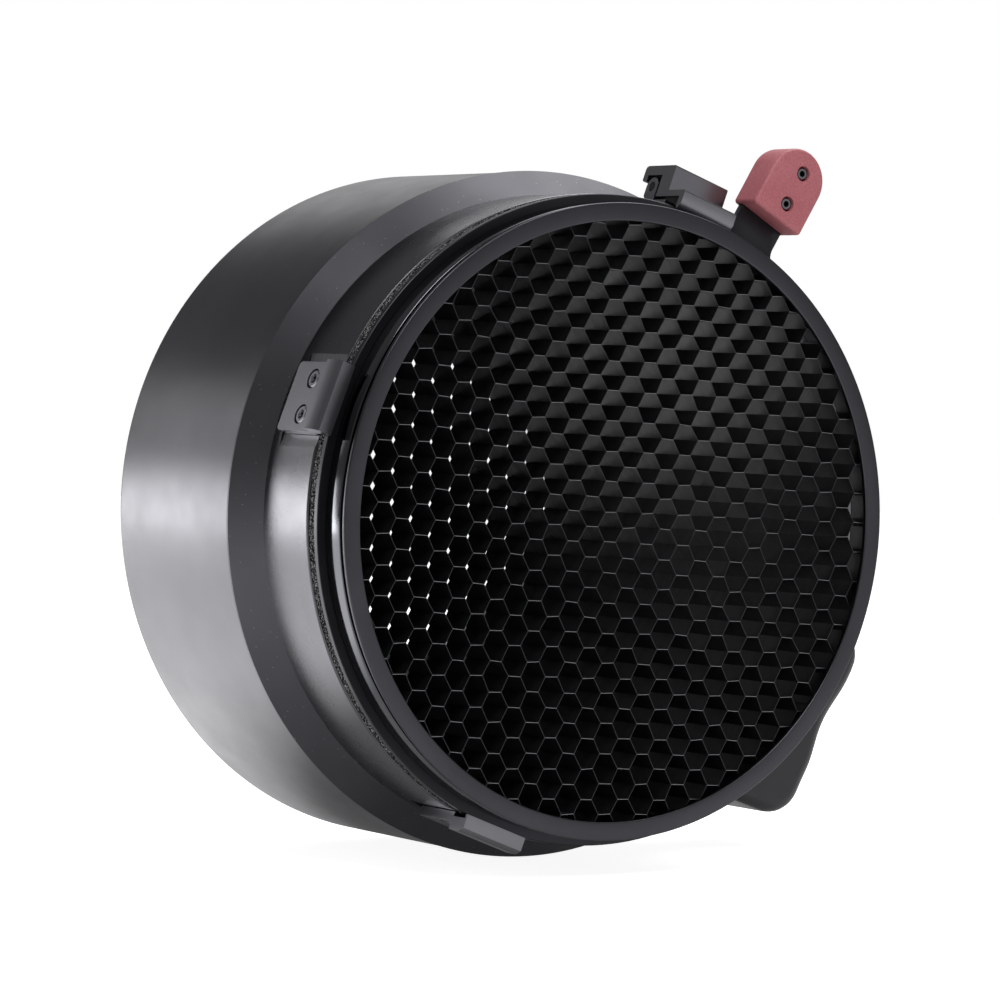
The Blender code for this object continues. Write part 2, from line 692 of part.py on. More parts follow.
def grip_outline():
    half = GRIP_WIDTH / 2
    round_end = half - GAP
    return rounded([(half, GRIP_INNER), (half, GRIP_OUTER, round_end), (-half, GRIP_OUTER, round_end),
                    (-half, GRIP_INNER)], 7)


def red_grip():
    front = PLATE_FRONT_Y - GRIP_FRONT
    rear = PLATE_REAR_Y + GRIP_REAR
    mesh = set_up(plate(grip_outline(), -rear, -front), FRONTAL)
    grip = add_part("red_grip", mesh, "red_plastic", about_axis(ARM_ANGLE))
    bevelled(grip, GRIP_EDGE)
    half = ARM_WIDTH / 2 + GAP
    low, high = GRIP_INNER - BEYOND, ARM_END + GAP
    slot = rounded([(half, low), (half, high, ARM_CORNER), (-half, high, ARM_CORNER), (-half, low)])
    mesh = set_up(plate(slot, -PLATE_REAR_Y - GAP, -PLATE_FRONT_Y + GAP), FRONTAL)
    boolean(grip, mesh, matrix=about_axis(ARM_ANGLE))
    sink = front + GRIP_SCREW_SINK + GRIP_SCREW_HEAD + GAP
    for radius, end in ((GRIP_SCREW_HEAD_RADIUS, sink), (GRIP_SCREW_RADIUS, PLATE_FRONT_Y)):
        tools = grip_cutters(radius + GAP, front - BEYOND, end)
        boolean(grip, joined(tools), matrix=about_axis(ARM_ANGLE))
    length = GRIP_FRONT - GRIP_SCREW_SINK - GRIP_SCREW_HEAD + PLATE_THICKNESS - GAP
    screw = screw_mesh("grip_screw", GRIP_SCREW_RADIUS, length, GRIP_SCREW_HEAD_RADIUS,
                       GRIP_SCREW_HEAD, GRIP_SCREW_SOCKET, GRIP_SOCKET_DEPTH)
    forwards = Matrix.Rotation(math.radians(90.0), 4, "X")
    for name, z in zip(("grip_screw_inner", "grip_screw_outer"), GRIP_SCREWS):
        place = Matrix.Translation((0, front + GRIP_SCREW_SINK, GRIP_INNER + z)) @ forwards
        add_part(name, screw, "screw_steel", about_axis(ARM_ANGLE) @ place)


# Ears

def ear_profile():
    """Side view of an ear at the top: the block with its hook over the plate's rim, and the base plate."""
    rear = COLLAR_FRONT_Y + EAR_REACH
    step = COLLAR_FRONT_Y + EAR_BLOCK_REACH
    hook_rear = PLATE_FRONT_Y - GAP
    hook_front = hook_rear - EAR_LIP
    lip_low = PLATE_RADIUS - EAR_CATCH
    channel_end = COLLAR_FRONT_Y + CHANNEL_END
    return rounded([
        (rear, SEAT), (rear, EAR_BASE_TOP, EAR_EDGE), (step, EAR_BASE_TOP), (step, EAR_TOP, EAR_EDGE),
        (hook_front + EAR_CHAMFER, EAR_TOP), (hook_front, EAR_TOP - EAR_CHAMFER_DROP), (hook_front, lip_low),
        (hook_rear, lip_low), (hook_rear, WEB_INNER), (channel_end, WEB_INNER), (channel_end, SEAT),
    ], 2)


def ear_body(name):
    half = EAR_LENGTH / 2
    wide = half + OVERLAP
    ear = add_part(name, set_up(plate(ear_profile(), -wide, wide), PROFILE), "satin_black")
    front = PLATE_FRONT_Y - GAP - EAR_LIP - OVERLAP
    rear = COLLAR_FRONT_Y + EAR_REACH
    plan = rounded([(-half, front), (half, front), (half, rear, EAR_CORNER), (-half, rear, EAR_CORNER)], 3)
    low = PLATE_RADIUS - EAR_CATCH - OVERLAP
    boolean(ear, plate(plan, low, EAR_TOP + OVERLAP), "INTERSECT")
    sink_screws(ear, pair(EAR_SCREW_SPACING, COLLAR_FRONT_Y + EAR_SCREW_REACH), EAR_BASE_TOP, SEAT)
    return ear


def ears():
    shank = EAR_BASE - SCREW_FLUSH - SCREW_HEAD + GAP + FLAT_HEIGHT - COLLAR_BORE
    screw = m3_mesh("ear_screw", shank)
    y = COLLAR_FRONT_Y + EAR_SCREW_REACH
    for name, angle in EAR_ANGLES.items():
        ear = ear_body(name)
        turn = about_axis(angle)
        ear.matrix_world = turn
        for modifier in ear.modifiers:
            modifier.object.matrix_world = turn
        for number, x in ((1, -EAR_SCREW_SPACING / 2), (2, EAR_SCREW_SPACING / 2)):
            place = Matrix.Translation((x, y, EAR_BASE_TOP - SCREW_FLUSH))
            add_part(f"{name}_screw_{number}", screw, "screw_steel", turn @ place)


# Latch

def latch_bracket():
    half = LATCH_LENGTH / 2
    front = COLLAR_FRONT_Y + LATCH_BASE_START
    rear = COLLAR_FRONT_Y + LATCH_BASE_REACH
    base = [(-half, front), (half, front), (half, rear), (-half, rear)]
    bracket = add_part("latch_bracket", plate(base, SEAT, LATCH_BASE_TOP), "satin_black")
    top = PIVOT_HEIGHT + CHEEK_RADIUS
    front, rear = PIVOT_Y - CHEEK_RADIUS, PIVOT_Y + CHEEK_RADIUS
    low = LATCH_BASE_TOP - OVERLAP
    foot = LATCH_BASE_TOP + CHEEK_STEP
    round_end = CHEEK_RADIUS * ALMOST
    cheek = rounded([(front, low), (rear - CHEEK_STEP, low), (rear - CHEEK_STEP, foot),
                     (rear, foot + CHEEK_STEP), (rear, top, round_end), (front, top, round_end)])
    for low_x, high_x in ((-half, -half + CHEEK_WIDTH), (half - CHEEK_WIDTH, half)):
        boolean(bracket, set_up(plate(cheek, low_x, high_x), PROFILE), "UNION")
    wide = half + BEYOND
    hole = cylinder(PIN_RADIUS + GAP, (-wide, PIVOT_Y, PIVOT_HEIGHT), (wide, PIVOT_Y, PIVOT_HEIGHT))
    boolean(bracket, hole)
    sink_screws(bracket, pair(LATCH_SCREW_SPACING, COLLAR_FRONT_Y + LATCH_SCREW_REACH), LATCH_BASE_TOP, SEAT)


def latch_screws():
    shank = LATCH_BASE - SCREW_FLUSH - SCREW_HEAD + GAP + FLAT_HEIGHT - COLLAR_BORE
    screw = m3_mesh("latch_screw", shank)
    y = COLLAR_FRONT_Y + LATCH_SCREW_REACH
    for number, x in ((1, -LATCH_SCREW_SPACING / 2), (2, LATCH_SCREW_SPACING / 2)):
        place = Matrix.Translation((x, y, LATCH_BASE_TOP - SCREW_FLUSH))
        add_part(f"latch_screw_{number}", screw, "screw_steel", place)


def latch_outline():
    lip_rear = PLATE_FRONT_Y - GAP
    lip_front = lip_rear - LATCH_LIP
    lip_low = PLATE_RADIUS - LATCH_CATCH
    web_top = LATCH_WEB_HEIGHT + LATCH_WEB
    block_front = COLLAR_FRONT_Y + LATCH_BLOCK_FRONT
    block_rear = COLLAR_FRONT_Y + LATCH_BLOCK_REAR
    cap_low = LATCH_TOP - LATCH_CAP
    tail_front = PIVOT_Y + CHEEK_RADIUS + OVERLAP
    tail_rear = tail_front + LATCH_TAIL
    return [
        (lip_front + LATCH_LIP_CHAMFER, lip_low), (lip_front, lip_low + LATCH_LIP_CUT),
        (lip_front, web_top, LATCH_EDGE), (block_front, web_top),
        (block_front, LATCH_TOP, LATCH_EDGE), (tail_rear, LATCH_TOP, 2 * LATCH_EDGE),
        (tail_rear, cap_low - LATCH_TAIL_DROP, LATCH_EDGE), (tail_front, cap_low - LATCH_TAIL_DROP),
        (tail_front, cap_low), (block_rear, cap_low), (block_rear, LATCH_WEB_HEIGHT),
        (lip_rear, LATCH_WEB_HEIGHT), (lip_rear, lip_low),
    ]


def on_pivot(mesh):
    """A mesh of the latch, moved so that the pin's axis is its origin."""
    mesh.transform(Matrix.Translation((0, -PIVOT_Y, -PIVOT_HEIGHT)))
    return mesh


def latch_body(pivot):
    half = LATCH_LENGTH / 2
    mesh = set_up(plate(rounded(latch_outline(), 2), -half, half), PROFILE)
    body = add_part("latch_body", on_pivot(mesh), "satin_black")
    body.parent = pivot
    radius = CHEEK_RADIUS - GAP
    block = COLLAR_FRONT_Y + LATCH_BLOCK_REAR - OVERLAP / 2
    cap = LATCH_TOP - LATCH_CAP + OVERLAP / 2
    low = PIVOT_HEIGHT - radius
    tongue = rounded([(block, cap), (block, low), (PIVOT_Y + radius, low, radius * ALMOST),
                      (PIVOT_Y + radius, cap)], 5)
    tongue_mesh = set_up(plate(tongue, TONGUE_START, TONGUE_END), PROFILE)
    boolean(body, on_pivot(tongue_mesh), "UNION").parent = pivot
    boolean(body, cylinder(PIN_RADIUS + GAP, (-half, 0, 0), (half, 0, 0))).parent = pivot


def latch_pin():
    half = LATCH_LENGTH / 2
    mesh = cylinder(PIN_RADIUS, (-half, PIVOT_Y, PIVOT_HEIGHT), (half, PIVOT_Y, PIVOT_HEIGHT))
    shade(mesh)
    add_part("latch_pin", mesh, "spring_steel")


def latch_spring():
    """A torsion spring on the pin, between the tongue and one cheek."""
    start = TONGUE_END + GAP + SPRING_WIRE
    end = LATCH_LENGTH / 2 - CHEEK_WIDTH - GAP - SPRING_WIRE
    count = int(SPRING_TURNS * SPRING_POINTS)
    curve = bpy.data.curves.new("latch_spring", "CURVE")
    curve.dimensions = "3D"
    curve.bevel_depth = SPRING_WIRE
    curve.bevel_resolution = 1
    curve.use_fill_caps = True
    spline = curve.splines.new("POLY")
    spline.points.add(count)
    for i, point in enumerate(spline.points):
        turn = 2 * math.pi * i / SPRING_POINTS
        x = start + (end - start) * i / count
        y = PIVOT_Y + SPRING_RADIUS * math.cos(turn)
        z = PIVOT_HEIGHT + SPRING_RADIUS * math.sin(turn)
        point.co = (x, y, z, 1.0)
    curve.materials.append(material("spring_steel"))
    obj = bpy.data.objects.new("latch_spring", curve)
    parts.objects.link(obj)


# Side grip

def side_grip_holes():
    """Cylinders for the side grip's two screws, through the drum's wall and into the grip."""
    low = math.sqrt(DRUM_INNER ** 2 - min(SIDE_GRIP_SCREWS) ** 2) - 2 * BEYOND
    high = DRUM_RADIUS + SIDE_GRIP_THREAD + BEYOND
    radius = SCREW_RADIUS + GAP
    return [cylinder(radius, (low, SIDE_GRIP_Y, z), (high, SIDE_GRIP_Y, z)) for z in SIDE_GRIP_SCREWS]


def side_grip_crest(z):
    """The outer side's distance from the axis at this height: two swells with a shallow hollow between."""
    share = (SIDE_GRIP_TOP - z) / (SIDE_GRIP_TOP - SIDE_GRIP_BOTTOM)
    crest = DRUM_RADIUS + SIDE_GRIP_PROUD - SIDE_GRIP_LEAN * share
    start, length = SIDE_GRIP_HOLLOW
    along = (share - start) / length
    if 0 < along < 1:
        crest -= SIDE_GRIP_WAIST / 2 * (1 - math.cos(2 * math.pi * along))
    return crest


def side_grip_outline():
    """The grip from the front; its inner side follows the drum."""
    top, bottom = SIDE_GRIP_TOP, SIDE_GRIP_BOTTOM
    steps = 18
    heights = [bottom + (top - bottom) * i / steps for i in range(steps + 1)]
    outer = [(side_grip_crest(z), z) for z in heights]
    inward = SIDE_GRIP_PROUD
    lower = corner((outer[0][0] - inward, bottom), outer[0], outer[3], SIDE_GRIP_ENDS, 5)
    upper = corner(outer[-4], outer[-1], (outer[-1][0] - inward, top), SIDE_GRIP_ENDS, 5)
    clear = SIDE_GRIP_ENDS + OVERLAP
    middle = [p for p in outer if bottom + clear < p[1] < top - clear]
    reach = DRUM_RADIUS + 2 * GAP
    inner = []
    for z in heights[::-2]:
        inner.append((math.sqrt(reach ** 2 - z ** 2), z))
    return lower + middle + upper + inner


def side_grip():
    front = DRUM_FRONT_Y + SIDE_GRIP_START
    rear = front + SIDE_GRIP_DEPTH
    mesh = set_up(plate(side_grip_outline(), -rear, -front), FRONTAL)
    grip = add_part("side_grip", mesh, "black_plastic")
    bevelled(grip, SIDE_GRIP_EDGE, 3, 50.0)
    boolean(grip, joined(side_grip_holes()))
    screw = m3_mesh("side_grip_screw", DRUM_WALL + SIDE_GRIP_THREAD)
    outwards = Matrix.Rotation(math.radians(-90.0), 4, "Y")
    for number, z in enumerate(SIDE_GRIP_SCREWS, 1):
        seat = math.sqrt(DRUM_INNER ** 2 - (abs(z) + SCREW_HEAD_RADIUS) ** 2) - GAP
        place = Matrix.Translation((seat - SCREW_HEAD, SIDE_GRIP_Y, z)) @ outwards
        add_part(f"side_grip_screw_{number}", screw, "screw_steel", place)


def main():
    clear_scene()
    pivot = bpy.data.objects.new("latch_pivot", None)
    pivot.location = (0, PIVOT_Y, PIVOT_HEIGHT)
    parts.objects.link(pivot)
    drum_shell()
    bayonet_ring()
    mount_screws()
    backing_ring()
    front_collar()
    felt_seal()
    grid_carrier()
    grid_ring()
    front_bezel()
    honeycomb_core()
    red_grip()
    ears()
    latch_bracket()
    latch_screws()
    latch_body(pivot)
    latch_pin()
    latch_spring()
    side_grip()


main()
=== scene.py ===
import math

import bpy
from mathutils import Matrix, Vector


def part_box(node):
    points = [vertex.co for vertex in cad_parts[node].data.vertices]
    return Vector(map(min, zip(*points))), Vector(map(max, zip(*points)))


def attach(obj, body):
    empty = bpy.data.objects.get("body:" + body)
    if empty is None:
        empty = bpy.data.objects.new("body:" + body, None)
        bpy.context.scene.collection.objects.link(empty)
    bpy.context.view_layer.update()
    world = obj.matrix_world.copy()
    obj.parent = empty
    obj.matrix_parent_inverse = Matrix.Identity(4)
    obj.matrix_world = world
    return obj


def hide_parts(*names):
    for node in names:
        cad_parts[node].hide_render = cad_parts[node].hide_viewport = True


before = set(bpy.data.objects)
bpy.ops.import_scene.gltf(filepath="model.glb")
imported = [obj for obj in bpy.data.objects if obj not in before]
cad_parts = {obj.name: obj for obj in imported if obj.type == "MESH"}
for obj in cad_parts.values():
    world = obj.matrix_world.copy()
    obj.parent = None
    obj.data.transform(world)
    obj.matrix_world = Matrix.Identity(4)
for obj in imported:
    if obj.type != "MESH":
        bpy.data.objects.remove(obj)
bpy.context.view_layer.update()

# A turned snoot for a studio lamp: drum, collar, felt, a turning grid frame with its honeycomb,
# two ears, a latch, a red grip and a rear bayonet. Metres, optical axis along Y, grid towards -Y.

mm = 0.001
steps = 256          # facets round the large turned pieces
weld = {"outline": 1e-7, "copied": 1e-6, "drawn": 2e-6, "sheet": 1e-5}   # points nearer than this are one


def deselectAll():
    if bpy.context.mode != "OBJECT":
        bpy.ops.object.mode_set(mode="OBJECT")
    bpy.ops.object.select_all(action="DESELECT")


def pick(obj):
    deselectAll()
    obj.select_set(True)
    bpy.context.view_layer.objects.active = obj
    return obj


def edit(obj, select="SELECT"):
    pick(obj)
    bpy.ops.object.mode_set(mode="EDIT")
    bpy.ops.mesh.select_mode(type="VERT")
    bpy.ops.mesh.select_all(action=select)


def closeUp(obj, distance):
    edit(obj)
    bpy.ops.mesh.remove_doubles(threshold=distance)
    bpy.ops.mesh.normals_make_consistent(inside=False)
    bpy.ops.object.mode_set(mode="OBJECT")


def settle(obj):
    # place, turn and size go into the mesh, so that the object sits at the origin
    pick(obj)
    bpy.ops.object.transform_apply(location=True, rotation=True, scale=True)
    return obj


def smooth(obj, degrees=30.0):
    pick(obj)
    bpy.ops.object.shade_smooth_by_angle(angle=math.radians(degrees))
    return obj


def applyModifier(obj, kind, **settings):
    pick(obj)
    modifier = obj.modifiers.new(kind.title(), kind)
    for name, value in settings.items():
        setattr(modifier, name, value)
    bpy.ops.object.modifier_apply(modifier=modifier.name)


def bevel(obj, width, segments=2, degrees=30.0):
    applyModifier(obj, "BEVEL", width=width, segments=segments, limit_method="ANGLE",
                  angle_limit=math.radians(degrees), use_clamp_overlap=True)


def cut(obj, tool, operation="DIFFERENCE"):
    applyModifier(obj, "BOOLEAN", operation=operation, object=tool, solver="EXACT")
    bpy.data.objects.remove(tool, do_unlink=True)


def joinAll(name, pieces):
    deselectAll()
    for piece in pieces:
        piece.select_set(True)
    bpy.context.view_layer.objects.active = pieces[0]
    if len(pieces) > 1:
        bpy.ops.object.join()
    pieces[0].name = name
    return pieces[0]


def finishPiece(obj, body, finish, replaced=(), degrees=30.0, crisp=False):
    obj.data.materials.clear()
    obj.data.materials.append(finish)
    smooth(obj, degrees)
    if crisp:
        # wide flat faces keep one even shade beside their rounded edges
        applyModifier(obj, "WEIGHTED_NORMAL", mode="FACE_AREA", weight=100, keep_sharp=True)
    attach(obj, body)
    if replaced:
        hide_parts(*replaced)
    return obj


def drawLine(name, points):
    # one vertex of a primitive, drawn out point by point as a line
    deselectAll()
    bpy.ops.mesh.primitive_plane_add(size=mm, location=(0, 0, 0))
    obj = bpy.context.active_object
    obj.name = name
    edit(obj)
    bpy.ops.mesh.merge(type="CENTER")
    bpy.ops.transform.translate(value=points[0])
    for before, after in zip(points, points[1:]):
        step = Vector(after) - Vector(before)
        bpy.ops.mesh.extrude_region_move(TRANSFORM_OT_translate={"value": step})
    bpy.ops.object.mode_set(mode="OBJECT")
    return obj


def spun(name, profile, facets=None):
    # a turned piece from a closed profile of (radius, y) points
    points = [(r, y, 0.0) for r, y in profile]
    obj = drawLine(name, points + points[:1])
    edit(obj)
    bpy.ops.mesh.spin(steps=facets or steps, angle=2 * math.pi, center=(0, 0, 0), axis=(0, 1, 0))
    closeUp(obj, weld["drawn"])
    return obj


def prism(name, outline, low, high, place=None):
    # a flat outline in X and Z, from y = low to y = high, then turned to its place
    points = [(x, low, z) for x, z in outline]
    obj = drawLine(name, points + points[:1])
    edit(obj)
    bpy.ops.mesh.remove_doubles(threshold=weld["outline"])
    bpy.ops.mesh.edge_face_add()
    bpy.ops.mesh.extrude_region_move(TRANSFORM_OT_translate={"value": (0, high - low, 0)})
    closeUp(obj, weld["drawn"])
    if place is not None:
        obj.matrix_world = place
        settle(obj)
    return obj


def block(name, centre, size, place=None):
    deselectAll()
    bpy.ops.mesh.primitive_cube_add(size=1.0, location=centre)
    obj = bpy.context.active_object
    obj.name = name
    obj.scale = size
    settle(obj)
    if place is not None:
        obj.matrix_world = place
        settle(obj)
    return obj


def rod(name, radius, start, end, facets=48):
    deselectAll()
    start, end = Vector(start), Vector(end)
    turn = (end - start).to_track_quat("Z", "Y").to_euler()
    bpy.ops.mesh.primitive_cylinder_add(vertices=facets, radius=radius, depth=(end - start).length,
                                        location=(start + end) / 2, rotation=turn)
    obj = bpy.context.active_object
    obj.name = name
    return settle(obj)


def aboutAxis(degrees):
    # takes a piece modelled at the top (+Z) to this angle, counted from +X towards +Z
    return Matrix.Rotation(math.radians(90.0 - degrees), 4, "Y")


def arc(centre, radius, start, end, count):
    return [(centre[0] + radius * math.cos(math.radians(start + (end - start) * i / count)),
             centre[1] + radius * math.sin(math.radians(start + (end - start) * i / count)))
            for i in range(count + 1)]


def copyNode(node, name):
    # a welded copy of a CAD node, its flat faces whole again so that its edges can be rounded
    deselectAll()
    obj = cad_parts[node].copy()
    obj.data = obj.data.copy()
    obj.name = name
    for key in list(obj.keys()):
        del obj[key]
    obj.parent = None
    bpy.context.scene.collection.objects.link(obj)
    closeUp(obj, weld["copied"])
    applyModifier(obj, "DECIMATE", decimate_type="DISSOLVE", angle_limit=math.radians(1.0))
    return obj


def angleOf(node):
    low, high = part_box(node)
    middle = (low + high) / 2
    return math.degrees(math.atan2(middle.z, middle.x))


def linear(hexColour):
    values = [int(hexColour[i:i + 2], 16) / 255 for i in (1, 3, 5)]
    return tuple(v / 12.92 if v <= 0.04045 else ((v + 0.055) / 1.055) ** 2.4 for v in values) + (1.0,)


def addNode(tree, kind, settings=None, inputs=None):
    node = tree.nodes.new(kind)
    for name, value in (settings or {}).items():
        setattr(node, name, value)
    for name, value in (inputs or {}).items():
        if isinstance(value, bpy.types.NodeSocket):
            tree.links.new(value, node.inputs[name])
        else:
            node.inputs[name].default_value = value
    return node


def startFinish(name, **values):
    made = bpy.data.materials.new(name)
    made.use_nodes = True
    tree = made.node_tree
    shader = tree.nodes["Principled BSDF"]
    for socket, value in values.items():
        shader.inputs[socket.replace("_", " ")].default_value = value
    place = addNode(tree, "ShaderNodeTexCoord").outputs["Object"]
    return made, tree, shader, place


def noise(tree, place, size, detail=2.0, roughness=0.5):
    # size is the pattern's real width in metres
    node = addNode(tree, "ShaderNodeTexNoise", {},
                   {"Vector": place, "Scale": 1.0 / size, "Detail": detail, "Roughness": roughness})
    return node.outputs["Fac"]


def ramp(tree, value, low, high, start=0.0, end=1.0):
    node = addNode(tree, "ShaderNodeMapRange", {"clamp": True},
                   {"Value": value, "From Min": low, "From Max": high, "To Min": start, "To Max": end})
    return node.outputs["Result"]


def mixColour(tree, factor, first, second):
    node = addNode(tree, "ShaderNodeMix", {"data_type": "RGBA"})
    for index, value in ((0, factor), (6, first), (7, second)):
        if isinstance(value, bpy.types.NodeSocket):
            tree.links.new(value, node.inputs[index])
        else:
            node.inputs[index].default_value = value
    return node.outputs[2]


def addBump(tree, shader, height, strength, distance):
    node = addNode(tree, "ShaderNodeBump", {},
                   {"Height": height, "Strength": strength, "Distance": distance})
    tree.links.new(node.outputs["Normal"], shader.inputs["Normal"])


def anodised(name, colour, roughness, grain, speck=0.0, metallic=1.0, lathe=0.0):
    # black anodised aluminium: dark metal with soft gradients and a fine even grain
    made, tree, shader, place = startFinish(name, Metallic=metallic, Roughness=roughness)
    cloud = noise(tree, place, 30 * mm, 3.0)
    fine = noise(tree, place, grain, 2.0)
    dark, light = linear(colour[0]), linear(colour[1])
    base = mixColour(tree, ramp(tree, cloud, 0.3, 0.7), dark, light)
    if speck:
        # dust and tiny bare points that catch the light, about 0.5 mm
        dots = addNode(tree, "ShaderNodeTexVoronoi", {}, {"Vector": place, "Scale": 1.0 / (2.2 * mm)})
        rare = ramp(tree, dots.outputs["Distance"], 0.0, speck, 1.0, 0.0)
        base = mixColour(tree, rare, base, linear("#9a9a9c"))
    tree.links.new(base, shader.inputs["Base Color"])
    handled = noise(tree, place, 12 * mm, 4.0)     # slightly duller and shinier patches
    uneven = ramp(tree, handled, 0.2, 0.8, roughness - 0.03, roughness + 0.04)
    tree.links.new(uneven, shader.inputs["Roughness"])
    height = fine
    if lathe:
        # turning marks: rings along Y, drawn at about 0.5 mm so that they show
        rings = addNode(tree, "ShaderNodeTexWave", {"wave_type": "BANDS", "bands_direction": "Y"},
                        {"Vector": place, "Scale": 0.32 / (0.5 * mm), "Distortion": 0.4})
        height = addNode(tree, "ShaderNodeMath", {"operation": "MULTIPLY_ADD"},
                         {0: rings.outputs["Fac"], 1: lathe, 2: fine}).outputs[0]
    addBump(tree, shader, height, 0.25, 0.03 * mm)
    return made


def moulded(name, colour, roughness, grain, strength):
    # injection-moulded plastic: even colour, soft sheen, fine spark-eroded grain
    made, tree, shader, place = startFinish(name, Roughness=roughness, IOR=1.5)
    cloud = noise(tree, place, 9 * mm, 3.0)
    fine = noise(tree, place, grain, 3.0, 0.6)
    mottle = addNode(tree, "ShaderNodeMath", {"operation": "MULTIPLY_ADD"},
                     {0: cloud, 1: 0.4, 2: fine}).outputs[0]
    base = mixColour(tree, ramp(tree, mottle, 0.55, 0.85), linear(colour[0]), linear(colour[1]))
    tree.links.new(base, shader.inputs["Base Color"])
    uneven = ramp(tree, fine, 0.2, 0.8, roughness - 0.05, roughness + 0.08)
    tree.links.new(uneven, shader.inputs["Roughness"])
    addBump(tree, shader, fine, strength, 0.05 * mm)
    return made


def steel(name, colour, roughness):
    # machined steel: bright, with faint fine scratches
    made, tree, shader, place = startFinish(name, Metallic=1.0, Roughness=roughness)
    marks = noise(tree, place, 0.35 * mm, 4.0, 0.7)
    base = mixColour(tree, ramp(tree, marks, 0.35, 0.65), linear(colour[0]), linear(colour[1]))
    tree.links.new(base, shader.inputs["Base Color"])
    uneven = ramp(tree, marks, 0.2, 0.8, roughness - 0.06, roughness + 0.08)
    tree.links.new(uneven, shader.inputs["Roughness"])
    addBump(tree, shader, marks, 0.15, 0.01 * mm)
    return made


def feltFinish():
    # needled wool felt: matt black mat with pale loose fibres, drawn at about 0.4 mm so that they show
    made, tree, shader, place = startFinish("needledFelt", Roughness=1.0)
    shader.inputs["Specular IOR Level"].default_value = 0.1
    fibres = noise(tree, place, 0.42 * mm, 1.0, 0.6)
    strand = ramp(tree, fibres, 0.54, 0.60)
    base = mixColour(tree, strand, linear("#050506"), linear("#8e8e8f"))
    tree.links.new(base, shader.inputs["Base Color"])
    addBump(tree, shader, fibres, 1.0, 0.4 * mm)
    return made


def foilFinish(name, colour, roughness):
    # black-coated aluminium foil: satin, slightly wavy
    made, tree, shader, place = startFinish(name, Metallic=0.2, Roughness=roughness, Specular_IOR_Level=0.3)
    wavy = noise(tree, place, 4 * mm, 2.0)
    base = mixColour(tree, ramp(tree, wavy, 0.3, 0.7), linear(colour[0]), linear(colour[1]))
    tree.links.new(base, shader.inputs["Base Color"])
    addBump(tree, shader, wavy, 0.35, 0.4 * mm)
    return made


finishes = {
    "drum": anodised("spunAnodised", ("#56565a", "#5e5e62"), 0.33, 0.25 * mm, lathe=0.5),
    "inside": steel("brightInside", ("#a9aaac", "#b6b7b9"), 0.5),
    "shoulder": anodised("blastedAnodised", ("#4c4c50", "#545458"), 0.40, 0.35 * mm, speck=0.10),
    "collar": anodised("turnedAnodised", ("#58585c", "#606064"), 0.26, 0.2 * mm, lathe=0.3),
    "plate": anodised("plateAnodised", ("#3a3a3e", "#404044"), 0.36, 0.2 * mm),
    "ring": anodised("polishedAnodised", ("#56575b", "#5e5f63"), 0.10, 0.6 * mm),
    "bezel": anodised("satinAnodised", ("#48484c", "#4e4e53"), 0.34, 0.2 * mm),
    "fitting": anodised("milledAnodised", ("#7f7f84", "#86868b"), 0.30, 0.2 * mm),
    # painted shade: the ring's inner bore gets a near-black colour in place of the shade that falls inside
    # it
    "bore": anodised("paintedShadeBore", ("#161618", "#1b1b1d"), 0.6, 0.2 * mm, metallic=0.3),
    "mount": anodised("clearAnodised", ("#86878a", "#8e8f92"), 0.32, 0.2 * mm, lathe=0.6),
    "foil": foilFinish("coatedFoil", ("#0f1011", "#141516"), 0.5),
    "foilEdge": steel("cutFoilEdge", ("#8b8c8f", "#9d9ea1"), 0.42),
    "foilThinEdge": steel("cutFoilThinEdge", ("#4a4b4e", "#55565a"), 0.45),
    "felt": feltFinish(),
    "screw": steel("blackOxideSteel", ("#77787b", "#85868a"), 0.26),
    # painted shade: near-black colour for the inside of the hex sockets, where shade falls
    "socket": steel("paintedShadeSocket", ("#0c0c0d", "#141415"), 0.5),
    "pin": steel("blackenedSteel", ("#3c3c3f", "#464649"), 0.35),
    "red": moulded("redNylon", ("#ae5f66", "#c0747a"), 0.50, 0.5 * mm, 0.3),
    "grip": moulded("blackNylon", ("#232427", "#292a2d"), 0.34, 0.3 * mm, 0.06),
}
print("finishes made")


# places and outer sizes come from the frame
drumLow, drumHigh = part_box("drum_shell")
collarLow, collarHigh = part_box("front_collar")
plateLow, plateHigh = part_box("grid_carrier")
ringLow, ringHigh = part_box("grid_ring")
bezelLow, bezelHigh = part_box("front_bezel")
feltLow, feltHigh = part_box("felt_seal")
coreLow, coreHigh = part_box("honeycomb_core")

drum = {"radius": -drumLow.x, "wall": 2.0 * mm, "bore": 52 * mm, "edge": 2.5 * mm, "lip": 0.4 * mm}


def makeDrum():
    d = drum
    inner = d["radius"] - d["wall"]
    rear, front = drumHigh.y, drumLow.y
    profile = [(d["bore"], rear)] + [(r, y) for r, y in arc(
        (d["radius"] - d["edge"], rear - d["edge"]), d["edge"], 90, 0, 6)]
    profile += [(d["radius"], front + d["lip"]), (d["radius"] - d["lip"], front), (inner, front),
                (inner, rear - d["wall"]), (d["bore"], rear - d["wall"])]
    shell = spun("drumShell", profile)
    finishPiece(shell, "holder", finishes["drum"], ["drum_shell"], 40)
    shell.data.materials.append(finishes["inside"])
    for face in shell.data.polygons:
        reach = math.hypot(face.center.x, face.center.z)
        inside = reach < inner + 0.2 * mm and face.center.y < rear - 0.5 * d["wall"]
        face.material_index = 1 if inside else 0


makeDrum()
print("drum made")

collar = {"drop": 7.2 * mm, "shoulder": 8.9 * mm, "wall": 3.4 * mm, "edge": 0.7 * mm, "step": 0.3 * mm,
          "gap": 0.3 * mm, "spigot": 3.0 * mm, "lip": 0.4 * mm, "flat": 1.1 * mm, "flatRear": 21.9 * mm,
          "flatHalf": 15.4 * mm}
collarRadius = drum["radius"] - collar["drop"]
shoulderY = drumLow.y - collar["shoulder"]


